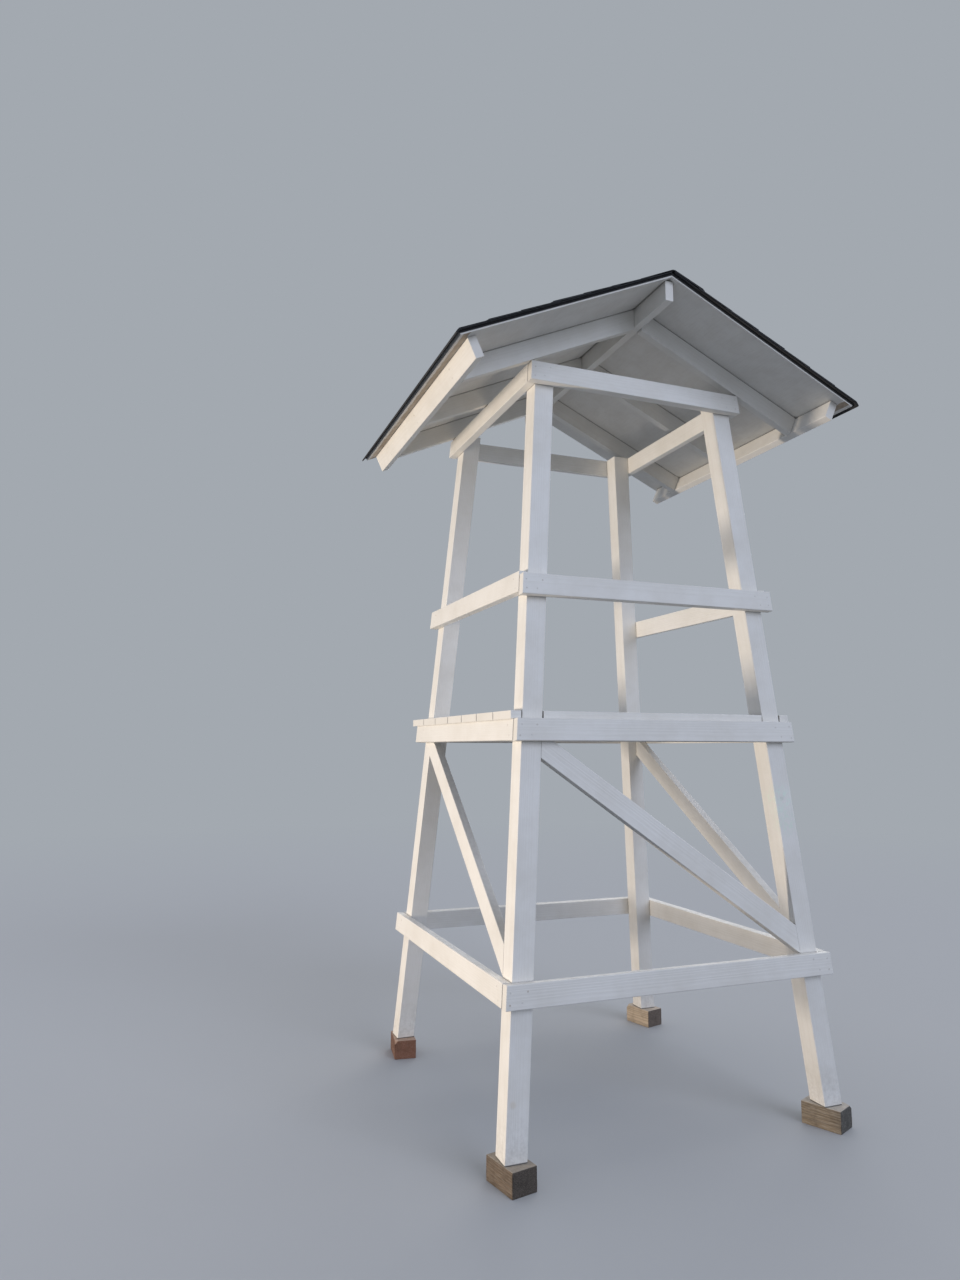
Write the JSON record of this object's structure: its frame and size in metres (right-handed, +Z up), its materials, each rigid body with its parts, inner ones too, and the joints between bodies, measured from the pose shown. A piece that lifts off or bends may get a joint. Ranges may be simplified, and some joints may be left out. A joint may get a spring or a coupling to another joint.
{
  "type": "lifeguard tower",
  "caption": "Open timber lookout tower with leaning posts, railed plank deck, diagonal braces and a small gable roof.",
  "frame": {"origin": "on level ground under the middle of the tower's plan, 12 mm in front of the middle of its four feet", "axes": "+X to the right along the front, +Y to the open back where one climbs in, +Z up"},
  "size_m": [1.9826, 1.6466, 3.5963],
  "materials": {
    "white_painted_timber": "satin white paint brushed on sawn softwood",
    "white_painted_sheathing": "thin matt white paint on sheathing board",
    "bare_timber": "bare dusty timber offcut",
    "black_roofing": "matt mineral-faced black roofing"
  },
  "bodies": {
    "root": {"front_left_post": "white_painted_timber", "front_left_foot_block": "bare_timber", "front_right_post": "white_painted_timber", "front_right_foot_block": "bare_timber", "back_left_post": "white_painted_timber", "back_left_foot_block": "bare_timber", "back_right_post": "white_painted_timber", "back_right_foot_block": "bare_timber", "front_bottom_rail": "white_painted_timber", "front_platform_rail": "white_painted_timber", "front_top_rail": "white_painted_timber", "back_bottom_rail": "white_painted_timber", "back_platform_rail": "white_painted_timber", "back_top_rail": "white_painted_timber", "left_bottom_rail": "white_painted_timber", "left_platform_rail": "white_painted_timber", "left_top_rail": "white_painted_timber", "right_bottom_rail": "white_painted_timber", "right_platform_rail": "white_painted_timber", "right_top_rail": "white_painted_timber", "front_handrail": "white_painted_timber", "front_brace": "white_painted_timber", "left_handrail": "white_painted_timber", "left_brace": "white_painted_timber", "right_handrail": "white_painted_timber", "right_brace": "white_painted_timber", "front_deck_plank": "white_painted_timber", "middle_deck_planks": "white_painted_timber", "back_deck_plank": "white_painted_timber", "front_left_rafter": "white_painted_timber", "front_right_rafter": "white_painted_timber", "middle_left_rafter": "white_painted_timber", "middle_right_rafter": "white_painted_timber", "back_left_rafter": "white_painted_timber", "back_right_rafter": "white_painted_timber", "ridge_beam": "white_painted_timber", "left_fascia": "white_painted_timber", "left_roof_sheathing": "white_painted_sheathing", "left_roofing": "black_roofing", "left_roof_edge_strips": "black_roofing", "right_fascia": "white_painted_timber", "right_roof_sheathing": "white_painted_sheathing", "right_roofing": "black_roofing", "right_roof_edge_strips": "black_roofing", "ridge_cap": "black_roofing"}
  },
  "joints": []
}
